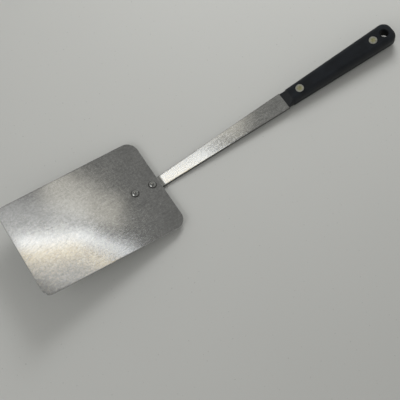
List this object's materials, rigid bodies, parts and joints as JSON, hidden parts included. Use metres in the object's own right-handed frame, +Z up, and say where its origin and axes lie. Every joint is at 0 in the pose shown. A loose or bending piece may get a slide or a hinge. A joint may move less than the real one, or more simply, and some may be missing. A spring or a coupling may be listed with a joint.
{
  "type": "grill spatula",
  "caption": "Grill spatula: flat rectangular steel blade riveted to a bent steel shank that widens into a riveted black plastic handle with a hang hole.",
  "frame": {"origin": "on the table plane, under the middle of the whole length, in the plane of symmetry", "axes": "+X towards the butt of the handle, +Z up from the table, working face of the blade up"},
  "size_m": [0.4128, 0.1016, 0.0366],
  "materials": {
    "blade_steel": "satin rolled stainless sheet, lightly smudged",
    "shank_steel": "semi-bright rolled stainless strip",
    "blade_rivets": "polished stainless, set with a press tool",
    "handle_plastic": "moulded, fine satin texture",
    "handle_rivet_sleeves": "nickel silver, ground flush",
    "handle_rivet_pins": "dull brass, ground flush"
  },
  "bodies": {
    "root": {"blade": "blade_steel", "shank": "shank_steel", "blade_rivet_front": "blade_rivets", "blade_rivet_rear": "blade_rivets", "handle_scale_top": "handle_plastic", "handle_scale_bottom": "handle_plastic", "handle_rivet_sleeve_front": "handle_rivet_sleeves", "handle_rivet_sleeve_rear": "handle_rivet_sleeves", "handle_rivet_pin_front": "handle_rivet_pins", "handle_rivet_pin_rear": "handle_rivet_pins"}
  },
  "joints": []
}
